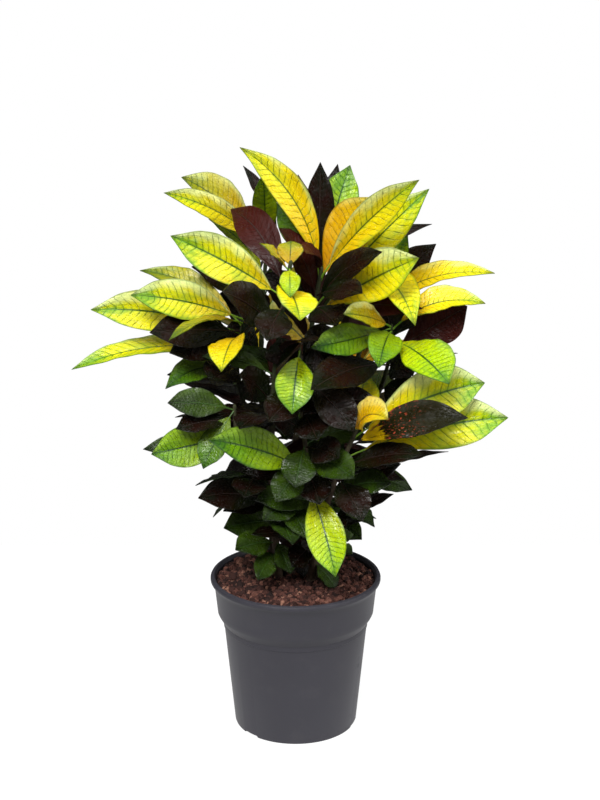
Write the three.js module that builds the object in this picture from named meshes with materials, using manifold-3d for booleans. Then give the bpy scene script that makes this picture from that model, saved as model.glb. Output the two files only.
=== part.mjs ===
// Potted croton: a nursery pot filled with lumpy soil, with six leafy stems standing in it.
// Millimetres, +Z up, origin at the middle of the pot's underside; the plant's best side faces -Y.
// Each stem is one solid with its branches and every leaf that grows from them.

import * as THREE from "three";
import { mergeVertices } from "three/addons/utils/BufferGeometryUtils.js";
import Module from "manifold-3d";

const wasm = await Module();
wasm.setup();

// Pot: outer radius against height, from the foot to the rolled rim
const potWall = 2.6;
const potFloor = 3;
const potFootRadius = 98;
const potFootRound = 3;
const potStepZ = 165.5;
const potStep = 1;
const potShoulderZ = 174;
const potShoulderRadius = 114.8;
const potCollarZ = 190;
const potCollarRadius = 124.1;
const potLipZ = 233;
const potLipRadius = 128.6;
const potFoldZ = 239;
const potFoldRadius = 131;
const potRimZ = 243;
const potRimRadius = 135;
const potRimRound = 3.5;
const potRimBand = 6;
const potRimDepth = 5;
const potHeight = 250;
const potSides = 32;
const drainCount = 3;
const drainStart = -137;
const drainWidth = 30;
const drainHeight = 4;
const drainDepth = 22;

// Soil: fills the pot to just under the rim, mounded a little towards the stems
const soilClearance = 0.35;
const soilEdgeZ = 240;
const soilMound = 4;
const soilBump = 1.4;
const soilRings = 4;
const soilEdgeDrop = 4;
const stemFootZ = 186;
const holeClearance = 0.35;

// Stems and branches
const stemSides = 5;
const stemSteps = 8;
const branchSteps = 5;
const trunkFootRadius = 7;
const trunkTipRadius = 3;
const branchFootRadius = 4.8;
const branchTipRadius = 2.6;

// Leaves
const petioleShare = 0.12;
const petioleRadius = 1.3;
const leafThickness = 1.1;
const leafFold = 18;
const leafWave = 2.6;
const wavesPerBlade = 1.6;
const waveLag = 0.3;
const bladeRound = 0.8;
const tipTaper = 0.22;
const bladeBulge = 1.12;
const fullBladeBulge = 1.45;
const fullLeaf = 70;
const brightTones = ["gold", "lemon", "lime", "fern", "amber", "olive", "fleck"];
const faceStations = [0.14, 0.38, 0.62, 0.85];
const ruleStations = [0.26, 0.56, 0.84];
const shortStations = [0.36, 0.76];
const narrowLeaf = 58;
const shortLeaf = 140;
const faceRound = [[-1, 1], [0, 1], [1, 1], [1, -1], [0, -1], [-1, -1]];
const ruleRound = [[-1, 1], [1, 1], [1, -1], [-1, -1]];
const clearance = 0.6;

// Trunks run from the soil to their growing tips, and a branch starts part way up its trunk.
// Each row holds the stem it belongs to, where it starts and the points that steer its curve.
const trunks = {
  centre: [[0, 24, 186], [-22, 14, 360], [6, -6, 540], [39, -18, 749]],
  left_back: [[-26, 38, 186], [-40, 50, 340], [-70, 80, 520], [-44, 105, 759]],
  left_front: [[-20, 0, 186], [-36, -22, 340], [-52, -70, 540], [-6, -95, 774]],
  right_back: [[26, 38, 186], [42, 62, 360], [92, 90, 520], [118, 75, 694]],
  right_front: [[20, -4, 186], [28, -34, 330], [50, -90, 420], [90, -125, 529]],
  back_left: [[-6, 62, 186], [-10, 110, 340], [-60, 170, 480], [-75, 165, 670]],
};
const branches = {
  left_low: ["left_back", 0.42, [-70, 46, 500], [-112, 10, 570], [-75, -15, 672]],
  left_out: ["left_front", 0.36, [-50, -50, 420], [-95, -80, 470], [-90, -88, 555]],
  right_low: ["right_back", 0.42, [90, 50, 470], [150, 0, 540], [144, -30, 664]],
  front: ["right_front", 0.34, [20, -60, 420], [10, -112, 520], [6, -116, 654]],
  back_right: ["back_left", 0.36, [20, 150, 430], [70, 185, 530], [80, 172, 650]],
};

// The leaves that give the plant its face. Each row: shoot, how far along it (0 to 1), tip,
// width, arch of the midrib, lean (0 faces up, 90 faces the front), turn to the side, tone.
const faceLeaves = [
  ["centre", 0.97, [-81, -30, 930], 50, 26, 60, 0, "gold"],
  ["centre", 0.97, [177, -95, 893], 52, 10, 66, 0, "gold"],
  ["centre", 0.985, [82, 30, 895], 66, 6, 75, 0, "lime"],
  ["centre", 0.95, [120, 0, 852], 76, 12, 65, 0, "amber"],
  ["centre", 0.9, [198, -25, 868], 64, 4, 60, 0, "lime"],
  ["centre", 0.97, [37, 15, 902], 44, 6, 60, 0, "plum"],
  ["centre", 0.9, [64, 55, 893], 50, 6, 40, 0, "plum"],
  ["centre", 0.86, [4, 45, 879], 54, 6, 60, 0, "wine"],
  ["centre", 0.9, [125, -112, 792], 42, 20, 58, 0, "plum"],
  ["centre", 0.92, [-24, -58, 816], 52, 20, 35, 0, "wine"],
  ["left_front", 0.92, [-178, -115, 816], 66, 6, 68, 0, "lemon"],
  ["left_back", 0.98, [-173, 60, 872], 70, 16, 40, 0, "olive"],
  ["left_back", 0.99, [-194, 12, 856], 44, 14, 58, 0, "lemon"],
  ["left_front", 0.93, [-98, 40, 826], 56, 30, 62, -10, "wine"],
  ["left_back", 0.985, [-48, 25, 884], 40, 6, 75, 0, "fern"],
  ["left_back", 0.95, [-81, 115, 881], 38, 30, 40, 40, "plum"],
  ["centre", 0.99, [-27, 35, 838], 50, 8, 70, 0, "moss"],
  ["left_front", 0.94, [7, -172, 705], 68, 26, 55, 25, "gold"],
  ["left_front", 0.985, [-7, -145, 732], 32, 24, 75, 0, "lime"],
  ["left_front", 0.98, [-51, -115, 805], 24, 8, 20, 0, "olive"],
  ["left_low", 0.985, [-243, -62, 717], 64, 10, 60, 0, "lemon"],
  ["left_low", 0.91, [-305, -42, 690], 66, 12, 66, 0, "lime"],
  ["left_low", 0.95, [-240, 62, 727], 46, 22, 30, 0, "olive"],
  ["left_low", 0.8, [-334, -62, 603], 46, 18, 25, 0, "lemon"],
  ["left_low", 0.88, [-107, -135, 620], 58, 26, 50, -18, "gold"],
  ["left_low", 0.92, [-214, -100, 668], 58, 6, 60, 0, "plum"],
  ["left_low", 0.965, [-184, -115, 661], 26, 26, 8, 0, "olive"],
  ["left_low", 0.62, [-196, -45, 568], 52, 40, 40, -20, "moss"],
  ["left_out", 0.97, [-188, -112, 566], 46, 12, 55, 0, "green"],
  ["left_out", 0.9, [-176, -120, 528], 46, 14, 25, 0, "plum"],
  ["left_out", 0.79, [-213, -136, 492], 66, 0, 70, 0, "fern"],
  ["left_out", 0.76, [-228, -90, 487], 40, 4, 40, 0, "green"],
  ["left_out", 0.97, [-136, -128, 469], 46, 12, 70, -20, "moss"],
  ["front", 0.42, [-125, -172, 528], 64, 10, 62, 0, "fern"],
  ["left_front", 0.38, [-147, -92, 410], 54, 20, 60, 0, "plum"],
  ["centre", 0.35, [-112, -82, 377], 48, 14, 30, 0, "plum"],
  ["centre", 0.28, [-111, -62, 347], 60, 10, 60, 0, "green"],
  ["left_front", 0.22, [-58, -92, 276], 36, 16, 75, 0, "green"],
  ["front", 0.28, [-49, -122, 385], 46, 16, 52, 0, "green"],
  ["front", 0.36, [60, -152, 307], 62, 10, 75, 0, "lime"],
  ["front", 0.985, [-4, -178, 569], 60, 14, 75, 0, "lime"],
  ["right_low", 0.985, [22, -120, 652], 52, -4, 60, 0, "fern"],
  ["right_back", 0.32, [105, -58, 382], 46, 14, 35, 0, "green"],
  ["right_back", 0.36, [134, 12, 375], 36, 12, 20, 0, "green"],
  ["right_back", 0.25, [113, 0, 340], 38, 12, 20, 0, "plum"],
  ["right_back", 0.27, [105, -20, 309], 40, 14, 60, 0, "green"],
  ["right_front", 0.42, [150, -34, 401], 34, 10, 20, 0, "plum"],
  ["right_back", 0.42, [171, 14, 401], 34, 10, 20, 0, "plum"],
  ["right_front", 0.6, [160, -66, 456], 56, 16, 30, 0, "plum"],
  ["right_front", 0.95, [280, -95, 592], 84, 15, 64, 0, "lime"],
  ["right_front", 0.9, [248, -180, 564], 58, 18, 50, 0, "fleck"],
  ["right_front", 0.84, [316, -98, 539], 80, 12, 62, 0, "lime"],
  ["right_front", 0.975, [106, -35, 589], 56, 6, 72, 0, "gold"],
  ["right_front", 0.965, [133, -188, 564], 54, 38, 52, 0, "amber"],
  ["right_front", 0.78, [184, -150, 503], 48, 14, 35, 0, "plum"],
  ["right_front", 0.7, [228, -104, 488], 28, 12, 0, 0, "plum"],
  ["right_low", 0.93, [220, -172, 612], 76, 14, 62, 10, "lime"],
  ["right_low", 0.97, [120, -150, 630], 54, 18, 66, 0, "fern"],
  ["right_low", 0.86, [259, -14, 689], 70, 2, 74, 0, "wine"],
  ["right_low", 0.975, [284, -32, 697], 58, 30, 25, 0, "gold"],
  ["right_low", 0.8, [22, -188, 610], 62, 12, 50, 0, "plum"],
  ["centre", 0.88, [180, -82, 777], 78, 6, 62, 0, "olive"],
  ["right_back", 0.97, [174, -130, 686], 62, 40, 60, 8, "gold"],
  ["right_low", 0.99, [69, -140, 707], 44, 8, 55, 0, "olive"],
  ["centre", 0.9, [189, -120, 707], 36, 8, 60, 0, "wine"],
  ["right_back", 0.985, [172, 60, 790], 60, 8, 60, 0, "lime"],
  ["right_back", 0.93, [217, 72, 767], 50, 8, 60, 0, "plum"],
  ["right_back", 0.89, [300, 10, 735], 54, 27, 30, 0, "gold"],
  ["centre", 0.93, [209, 60, 800], 24, 22, 40, 0, "plum"],
  ["left_back", 0.86, [-92, -10, 742], 60, 12, 50, 0, "plum"],
  ["left_low", 0.86, [-40, -60, 690], 56, 16, 50, 0, "plum"],
  ["right_back", 0.82, [178, -20, 660], 62, 14, 40, 0, "plum"],
  ["centre", 0.62, [62, -80, 452], 60, 20, 50, 0, "green"],
  ["right_low", 0.92, [132, -60, 705], 60, 10, 70, 0, "plum"],
  ["front", 0.88, [86, -150, 533], 58, 14, 50, 0, "plum"],
  ["right_low", 0.66, [176, -60, 560], 56, 14, 60, 0, "plum"],
  ["centre", 0.99, [16, -82, 783], 44, 30, 50, 0, "wine"],
  ["left_front", 0.985, [-6, -35, 793], 40, 10, 30, 0, "olive"],
  ["left_back", 0.86, [-157, 10, 744], 58, 14, 45, 0, "plum"],
  ["left_front", 0.84, [-103, -122, 738], 64, 14, 52, 0, "plum"],
  ["left_low", 0.84, [-187, -68, 630], 56, 10, 48, 0, "plum"],
  ["left_low", 0.7, [-125, -92, 594], 58, 10, 52, 0, "plum"],
  ["centre", 0.93, [96, -122, 735], 44, 10, 55, 0, "plum"],
  ["centre", 0.9, [60, -112, 683], 60, 12, 50, 0, "plum"],
  ["left_front", 0.72, [7, -135, 660], 54, 12, 50, 0, "plum"],
  ["left_front", 0.66, [-81, -122, 613], 54, 12, 50, 0, "plum"],
  ["left_front", 0.6, [10, -132, 537], 54, 10, 55, 0, "green"],
  ["left_front", 0.52, [-81, -112, 528], 50, 12, 50, 0, "plum"],
  ["front", 0.62, [-40, -155, 565], 52, 10, 55, 0, "plum"],
  ["front", 0.55, [64, -152, 494], 52, 10, 52, 0, "plum"],
  ["front", 0.46, [-29, -142, 422], 50, 12, 52, 0, "green"],
  ["left_front", 0.9, [-40, -150, 672], 56, 14, 55, 0, "plum"],
  ["left_front", 0.84, [-18, -150, 624], 56, 14, 55, 0, "plum"],
  ["centre", 0.9, [-51, 10, 730], 50, 14, 50, 0, "plum"],
  ["right_low", 0.8, [176, -60, 593], 50, 14, 50, 0, "plum"],
  ["front", 0.72, [32, -165, 526], 56, 12, 55, 0, "plum"],
  ["front", 0.56, [0, -150, 447], 54, 12, 55, 0, "green"],
  ["front", 0.42, [36, -140, 417], 50, 12, 50, 0, "plum"],
  ["left_front", 0.25, [-92, -70, 321], 46, 14, 50, 0, "green"],
  ["front", 0.93, [44, -140, 630], 44, 10, 55, 0, "plum"],
  ["front", 0.78, [32, -150, 564], 40, 12, 55, 0, "plum"],
  ["left_front", 0.74, [-83, -100, 564], 46, 12, 50, 0, "plum"],
  ["left_back", 0.74, [-108, 30, 641], 60, 14, 50, 0, "plum"],
  ["left_back", 0.82, [-123, 40, 689], 54, 12, 50, 0, "plum"],
  ["right_low", 0.88, [181, -118, 618], 52, 10, 55, 0, "plum"],
];

// Leaves that follow the growth rule: each next leaf turns by the golden angle round its shoot.
// Each row: shoot, first and last place along it, number, shortest and longest leaf, lowest and
// highest slope, first direction seen from above (0 to the right, 90 to the back), largest twist.
const goldenAngle = 137.508;
const growthRows = [
  ["back_left", 0.34, 0.97, 13, 125, 190, -14, 62, 100, 40],
  ["back_right", 0.24, 0.97, 12, 125, 190, -14, 62, 60, 40],
  ["left_back", 0.28, 0.93, 12, 110, 170, -10, 44, 120, 40],
  ["right_back", 0.30, 0.88, 12, 110, 170, -10, 40, 50, 40],
  ["centre", 0.22, 0.84, 16, 115, 155, -6, 40, 80, 40],
  ["left_front", 0.30, 0.90, 12, 100, 130, -10, 30, 150, 50],
  ["left_low", 0.22, 0.84, 7, 95, 130, -8, 30, 110, 40],
  ["right_low", 0.22, 0.84, 7, 95, 130, -8, 30, 20, 40],
  ["front", 0.36, 0.90, 9, 90, 120, -12, 26, 30, 50],
  ["right_front", 0.30, 0.68, 7, 95, 125, -8, 20, 10, 40],
  ["left_out", 0.25, 0.75, 5, 90, 110, -8, 20, 140, 40],
  ["left_front", 0.26, 0.66, 9, 85, 115, -58, -22, 250, 35],
  ["centre", 0.20, 0.62, 10, 90, 120, -50, -20, 300, 35],
  ["right_front", 0.24, 0.72, 9, 85, 110, -55, -20, 290, 35],
  ["front", 0.14, 0.80, 6, 85, 110, -50, -15, 270, 35],
  ["left_back", 0.26, 0.66, 3, 95, 120, -50, -20, 160, 35],
];
const ruleSeed = 20417;
const turnScatter = 16;
const slopeScatter = 10;
const lengthScatter = 16;
const slimmestRuleLeaf = 38;
const widthByLength = 0.12;
const widthScatter = 6;
const flattestArch = 12;
const archScatter = 14;
const crownMiddle = [0, 20, 590];
const crownReach = [285, 285, 290];
const leastReach = 60;
const reachStep = 6;

function radians(degrees) {
  return degrees * Math.PI / 180;
}

function pointOnCurve(curve, t) {
  const u = 1 - t;
  const weights = [u * u * u, 3 * u * u * t, 3 * u * t * t, t * t * t];
  const point = new THREE.Vector3();
  curve.forEach((corner, i) => point.addScaledVector(corner, weights[i]));
  return point;
}

// Every shoot as a curve with its radii and the stem that it belongs to
const shoots = {};
for (const [name, points] of Object.entries(trunks)) {
  const curve = points.map((point) => new THREE.Vector3(...point));
  shoots[name] = { stem: name, curve, foot: trunkFootRadius, tip: trunkTipRadius, steps: stemSteps };
}
for (const [name, [parent, start, ...points]] of Object.entries(branches)) {
  const first = pointOnCurve(shoots[parent].curve, start);
  const curve = [first, ...points.map((point) => new THREE.Vector3(...point))];
  shoots[name] = { stem: parent, curve, foot: branchFootRadius, tip: branchTipRadius, steps: branchSteps };
}

// A closed solid from rings of points joined in order, with an end point or a flat cap at each end
function loft(rings, apex, flip = () => false) {
  const sides = rings[0].length;
  const vertices = rings.flat();
  const triangles = [];
  for (let i = 0; i + 1 < rings.length; i++) {
    for (let j = 0; j < sides; j++) {
      const a = i * sides + j;
      const b = i * sides + (j + 1) % sides;
      const c = a + sides;
      const d = b + sides;
      if (flip(j)) triangles.push([a, b, c], [b, d, c]);
      else triangles.push([a, b, d], [a, d, c]);
    }
  }
  for (let j = 1; j + 1 < sides; j++) triangles.push([0, j + 1, j]);
  const last = (rings.length - 1) * sides;
  const top = vertices.length;
  if (apex) vertices.push(apex);
  for (let j = 0; j < sides; j++) {
    const next = (j + 1) % sides;
    if (apex) triangles.push([last + j, last + next, top]);
    else if (j > 0 && next > 0) triangles.push([last, last + j, last + next]);
  }
  return new wasm.Manifold(new wasm.Mesh({
    numProp: 3,
    vertProperties: new Float32Array(vertices.flatMap((vertex) => vertex.toArray())),
    triVerts: new Uint32Array(triangles.flat()),
  }));
}

// A stem or branch: a tapering tube with a blunt growing point
function tube(shoot, extra = 0) {
  const rings = [];
  for (let i = 0; i <= shoot.steps; i++) {
    const t = i / shoot.steps;
    const middle = pointOnCurve(shoot.curve, t);
    const ahead = pointOnCurve(shoot.curve, t + 0.01).sub(pointOnCurve(shoot.curve, t - 0.01)).normalize();
    const across = new THREE.Vector3(1, 0, 0).addScaledVector(ahead, -ahead.x).normalize();
    const out = new THREE.Vector3().crossVectors(ahead, across);
    const radius = shoot.foot + (shoot.tip - shoot.foot) * t + extra;
    const ring = [];
    for (let j = 0; j < stemSides; j++) {
      const angle = 2 * Math.PI * j / stemSides;
      ring.push(middle.clone().addScaledVector(across, radius * Math.cos(angle))
        .addScaledVector(out, radius * Math.sin(angle)));
    }
    rings.push(ring);
  }
  const end = pointOnCurve(shoot.curve, 1);
  const point = end.clone().add(end.clone().sub(pointOnCurve(shoot.curve, 0.98)).setLength(shoot.tip));
  return loft(rings, point);
}

// How a leaf lies: its midrib from the shoot to the tip, and which way its upper face looks
function leafFrame(leaf, s) {
  const chord = leaf.tip.clone().sub(leaf.base);
  const half = chord.length() / 2;
  const flat = new THREE.Vector3(chord.y, -chord.x, 0).normalize();
  const up = new THREE.Vector3().crossVectors(flat, chord).normalize();
  const bend = leaf.base.clone().add(leaf.tip).multiplyScalar(0.5)
    .addScaledVector(up, half * Math.tan(radians(leaf.arch)));
  const point = new THREE.Vector3()
    .addScaledVector(leaf.base, (1 - s) * (1 - s))
    .addScaledVector(bend, 2 * s * (1 - s))
    .addScaledVector(leaf.tip, s * s);
  const along = new THREE.Vector3()
    .addScaledVector(bend.clone().sub(leaf.base), 1 - s)
    .addScaledVector(leaf.tip.clone().sub(bend), s)
    .normalize();
  const normal = leaf.facing.clone().addScaledVector(along, -leaf.facing.dot(along)).normalize();
  const right = new THREE.Vector3().crossVectors(along, normal);
  return { point, along, normal, right };
}

function bladeHalfWidth(leaf, b) {
  const taper = Math.min(Math.max((b - 0.8) / 0.2, 0), 1);
  const bulge = leaf.width < fullLeaf ? bladeBulge : fullBladeBulge;
  return leaf.width / 2 * Math.sin(Math.PI * b ** bulge) ** bladeRound * (1 - tipTaper * taper);
}

// The points round a leaf: some on its upper face and the same on its lower face
function leafSection(leaf, s, extra) {
  const { point, normal, right } = leafFrame(leaf, s);
  const b = (s - petioleShare) / (1 - petioleShare);
  const onBlade = b > 0.001;
  const half = onBlade ? bladeHalfWidth(leaf, b) : petioleRadius;
  const fold = onBlade && leaf.round === faceRound ? radians(leafFold) : 0;
  const thick = (onBlade ? leafThickness : 2 * petioleRadius) / 2 + extra;
  const ring = [];
  for (const [across, face] of leaf.round) {
    const wave = onBlade && across !== 0
      ? leafWave * Math.sin(Math.PI * b)
        * Math.sin(2 * Math.PI * (wavesPerBlade * b + leaf.phase + waveLag * across))
      : 0;
    const wide = across * (half * Math.cos(fold) + extra);
    const rise = Math.abs(across) * half * Math.sin(fold) + wave + face * thick;
    ring.push(point.clone().addScaledVector(right, wide).addScaledVector(normal, rise));
  }
  return ring;
}

function leafSolid(leaf, extra = 0, fromBlade = false) {
  const places = leaf.stations.map((b) => petioleShare + b * (1 - petioleShare));
  if (!fromBlade) places.unshift(0, petioleShare);
  const rings = places.map((s) => leafSection(leaf, s, extra));
  const apex = leaf.tip.clone();
  if (extra > 0) apex.addScaledVector(leafFrame(leaf, 1).along, extra);
  return loft(rings, apex, (side) => side >= leaf.round.length / 2);
}

// Rows become leaves, and each leaf may bend a little to one side of its place to find room.
// A face leaf's tip moves by the millimetres of a row.
const frontBends = [
  [0, 0, 0], [0, -14, 2], [0, 14, -2], [0, -28, 5], [0, 28, -5], [6, 0, 6], [-6, 0, -6],
  [0, -44, 8], [0, 44, -8], [8, 20, 6], [-8, -20, -6], [0, -64, 12], [0, 64, -12],
];
// A rule leaf turns and rises by the degrees of a row and keeps the given share of its length
const turnBends = [
  [0, 0, 1], [12, 4, 1], [-12, -4, 1], [24, -6, 1], [-24, 6, 1], [36, 10, 1], [-36, -10, 1],
  [50, 14, 1], [-50, 0, 1], [0, 18, 1], [0, -18, 1], [66, 6, 1], [-66, 6, 1], [0, 0, 0.75],
  [20, -10, 0.75], [-20, 10, 0.75], [42, 0, 0.7], [-42, 0, 0.7],
];

function facingOf(lean, side) {
  const up = radians(lean);
  const turn = radians(side);
  return new THREE.Vector3(Math.sin(turn), -Math.sin(up) * Math.cos(turn), Math.cos(up) * Math.cos(turn));
}

const wanted = [];
faceLeaves.forEach(([shoot, along, tip, width, arch, lean, side, tone], i) => {
  const base = pointOnCurve(shoots[shoot].curve, along);
  const bright = brightTones.includes(tone);
  const choices = frontBends.map(([x, y, z]) => ({
    base, width, arch, facing: facingOf(lean, side), phase: (i * 0.37) % 1,
    stations: bright && width > narrowLeaf ? faceStations : ruleStations,
    round: bright ? faceRound : ruleRound,
    tip: new THREE.Vector3(tip[0] + x, tip[1] + y, tip[2] + z),
  }));
  wanted.push({ stem: shoots[shoot].stem, choices, needed: true });
});

let ruleState = ruleSeed;
function draw() {
  ruleState = (ruleState * 1664525 + 1013904223) % 4294967296;
  return ruleState / 4294967296;
}

// A leaf that would reach past the crown's egg shape is shortened until its tip is inside
function insideCrown(tip) {
  const reach = tip.toArray().map((value, axis) => (value - crownMiddle[axis]) / crownReach[axis]);
  return reach[0] ** 2 + reach[1] ** 2 + reach[2] ** 2 < 1;
}

for (const [shoot, first, last, number, shortest, longest, low, high, start, twist] of growthRows) {
  for (let i = 0; i < number; i++) {
    const share = i / (number - 1);
    const base = pointOnCurve(shoots[shoot].curve, first + (last - first) * share);
    const turn = start + goldenAngle * i + turnScatter * (draw() - 0.5);
    const slope = low + (high - low) * share + slopeScatter * (draw() - 0.5);
    const shorter = (longest - shortest) * Math.abs(1.4 * share - 0.6);
    const length = longest - shorter + lengthScatter * (draw() - 0.5);
    const width = slimmestRuleLeaf + length * widthByLength + widthScatter * draw();
    const arch = flattestArch + archScatter * draw();
    const phase = draw();
    const roll = radians(twist * (2 * draw() - 1));
    const choices = turnBends.map(([more, rise, shrink]) => {
      const heading = radians(turn + more);
      const lift = radians(slope + rise);
      const toTip = new THREE.Vector3(
        Math.cos(lift) * Math.cos(heading), Math.cos(lift) * Math.sin(heading), Math.sin(lift));
      let reach = length * shrink;
      while (reach > leastReach && !insideCrown(base.clone().addScaledVector(toTip, reach))) {
        reach -= reachStep;
      }
      return {
        base, width, arch, phase, round: ruleRound,
        stations: reach < shortLeaf ? shortStations : ruleStations,
        facing: new THREE.Vector3(
          -Math.sin(heading) * Math.sin(roll), Math.cos(heading) * Math.sin(roll), Math.cos(roll)),
        tip: base.clone().addScaledVector(toTip, reach),
      };
    });
    wanted.push({ stem: shoots[shoot].stem, choices, needed: false });
  }
}

// Pot: one turned shell with a rolled rim, stepped collar and drain slots round the foot
const potInner = [
  [potRimRadius - potRimBand, potHeight], [potLipRadius - potWall, potHeight - potRimDepth],
  [potCollarRadius - potWall, potCollarZ], [potShoulderRadius - potWall, potShoulderZ],
  [potFootRadius - potWall, potFloor + potFootRound], [potFootRadius - potFootRound - potWall, potFloor],
  [0, potFloor],
];

function potShell() {
  const outer = [
    [0, 0], [potFootRadius - potFootRound, 0], [potFootRadius, potFootRound],
    [potShoulderRadius - potStep, potStepZ], [potShoulderRadius, potStepZ + potStep],
    [potShoulderRadius, potShoulderZ], [potCollarRadius, potCollarZ], [potLipRadius, potLipZ],
    [potFoldRadius, potFoldZ], [potRimRadius, potRimZ], [potRimRadius, potHeight - potRimRound],
    [potRimRadius - potRimRound, potHeight],
  ];
  const profile = [...outer, ...potInner].map(([radius, z]) => new THREE.Vector2(radius, z));
  const turned = new THREE.LatheGeometry(profile, potSides).rotateX(Math.PI / 2);
  let shell = solidOf(turned);
  for (let i = 0; i < drainCount; i++) {
    const slot = new THREE.BoxGeometry(drainDepth, drainWidth, 2 * drainHeight)
      .translate(potFootRadius, 0, 0)
      .rotateZ(radians(drainStart + 360 * i / drainCount));
    shell = shell.subtract(solidOf(slot));
  }
  return shell;
}

function solidOf(geometry) {
  geometry.deleteAttribute("normal");
  geometry.deleteAttribute("uv");
  const merged = mergeVertices(geometry, 1e-4);
  return new wasm.Manifold(new wasm.Mesh({
    numProp: 3,
    vertProperties: new Float32Array(merged.attributes.position.array),
    triVerts: new Uint32Array(merged.index.array),
  }));
}

// Soil: its sides follow the pot's inner wall and its top is lumpy
function soilHeight(x, y) {
  const out = Math.hypot(x, y) / potCollarRadius;
  const lumps = Math.sin(x * 0.13 + 1.3) * Math.cos(y * 0.17) + 0.7 * Math.sin(x * 0.31 + y * 0.23)
    + 0.5 * Math.cos(x * 0.47 - y * 0.41 + 0.8);
  return soilEdgeZ + soilMound * (1 - out * out) + soilBump * lumps;
}

function soilBody() {
  const [, lip, collar, shoulder, foot, floor] = potInner;
  const slope = (lip[0] - collar[0]) / (lip[1] - collar[1]);
  const edgeZ = soilEdgeZ - soilEdgeDrop;
  const edge = collar[0] + slope * (edgeZ - collar[1]) - soilClearance;
  const rings = [
    ringAt(floor[0] - soilClearance, () => floor[1] + soilClearance),
    ringAt(foot[0] - soilClearance, () => foot[1] + soilClearance),
    ringAt(shoulder[0] - soilClearance, () => shoulder[1]),
    ringAt(collar[0] - soilClearance, () => collar[1]),
  ];
  for (let i = 0; i < soilRings; i++) rings.push(ringAt(edge * (1 - i / soilRings), soilHeight));
  return loft(rings, new THREE.Vector3(0, 0, soilHeight(0, 0)));
}

function ringAt(radius, height) {
  const ring = [];
  for (let j = 0; j < potSides; j++) {
    const angle = 2 * Math.PI * j / potSides;
    const x = radius * Math.cos(angle);
    const y = radius * Math.sin(angle);
    ring.push(new THREE.Vector3(x, y, height(x, y)));
  }
  return ring;
}

const pot = potShell();
let soil = soilBody();
const stems = {};
for (const name of Object.keys(trunks)) {
  stems[name] = tube(shoots[name]);
  const hole = { ...shoots[name], curve: [...shoots[name].curve] };
  hole.curve[0] = hole.curve[0].clone().setZ(stemFootZ - holeClearance);
  soil = soil.subtract(tube(hole, holeClearance));
}
for (const name of Object.keys(branches)) {
  const { stem } = shoots[name];
  stems[stem] = stems[stem].add(tube(shoots[name]));
}

// A leaf takes the first place where it touches no other stem's solid and crosses no blade of its
// own stem. A face leaf with no such place may cross its own stem's leaves, never another's.
function isClear(solid, others) {
  return others.every((other) => solid.intersect(other).isEmpty());
}

for (const { stem, choices, needed } of wanted) {
  const others = Object.keys(stems).filter((name) => name !== stem).map((name) => stems[name]);
  others.push(soil, pot);
  const free = choices.filter((leaf) => isClear(leafSolid(leaf, clearance), others));
  const apart = free.find((leaf) => isClear(leafSolid(leaf, clearance, true), [stems[stem]]));
  const chosen = apart ?? (needed ? free[0] : undefined);
  if (chosen) stems[stem] = stems[stem].add(leafSolid(chosen));
}

function finish(name, solid, color, roughness) {
  const { vertProperties, triVerts } = solid.getMesh();
  const geometry = new THREE.BufferGeometry();
  geometry.setAttribute("position", new THREE.BufferAttribute(new Float32Array(vertProperties), 3));
  geometry.setIndex(new THREE.BufferAttribute(new Uint32Array(triVerts), 1));
  geometry.computeVertexNormals();
  const mesh = new THREE.Mesh(geometry, new THREE.MeshStandardMaterial({ color, roughness, metalness: 0 }));
  mesh.name = name;
  return mesh;
}

const croton = new THREE.Group();
croton.name = "potted_croton";
croton.add(finish("pot", pot, 0x4a494e, 0.55));
croton.add(finish("soil", soil, 0x5a3730, 0.95));
const leafColors = {
  centre: 0xd8c22a, left_back: 0xb9a52a, left_front: 0xdcc62c,
  right_back: 0xb4a030, right_front: 0x9db838, back_left: 0xa8a834,
};
for (const [name, solid] of Object.entries(stems)) {
  croton.add(finish(`stem_${name}`, solid, leafColors[name], 0.4));
}

export default croton;
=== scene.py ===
import random
from collections import namedtuple
from math import cos, hypot, pi, radians, sin, sqrt, tan

import bpy
import numpy as np
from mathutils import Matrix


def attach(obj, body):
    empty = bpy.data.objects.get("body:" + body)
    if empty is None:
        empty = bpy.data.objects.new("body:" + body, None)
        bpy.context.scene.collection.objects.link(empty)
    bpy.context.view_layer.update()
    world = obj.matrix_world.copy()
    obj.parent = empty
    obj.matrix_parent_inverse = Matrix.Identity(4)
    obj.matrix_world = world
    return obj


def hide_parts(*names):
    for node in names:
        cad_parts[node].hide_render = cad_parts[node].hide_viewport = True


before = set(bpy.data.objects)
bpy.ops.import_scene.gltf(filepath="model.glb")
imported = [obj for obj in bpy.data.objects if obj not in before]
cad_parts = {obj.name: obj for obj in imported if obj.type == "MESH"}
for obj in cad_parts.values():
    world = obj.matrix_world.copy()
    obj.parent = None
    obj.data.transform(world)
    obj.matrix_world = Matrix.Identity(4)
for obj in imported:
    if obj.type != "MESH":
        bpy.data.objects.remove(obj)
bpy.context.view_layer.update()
bpy.ops.object.select_all(action="DESELECT")
mm = 0.001


# View
# The plant is seen from the front and from a little above its crown, looking down, through a
# long lens. Nothing of this is part of the plant.
camera_place = (7 * mm, -2478 * mm, 1276 * mm)
camera_pitch = 16.6
camera_lens = 75.6
camera_sensor = 36

bpy.ops.object.camera_add(location=camera_place, rotation=(radians(90 - camera_pitch), 0, 0))
camera = bpy.context.object
camera.name = "camera"
camera.data.lens = camera_lens
camera.data.sensor_width = camera_sensor
bpy.context.scene.camera = camera
bpy.context.scene.view_settings.view_transform = "Standard"


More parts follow.
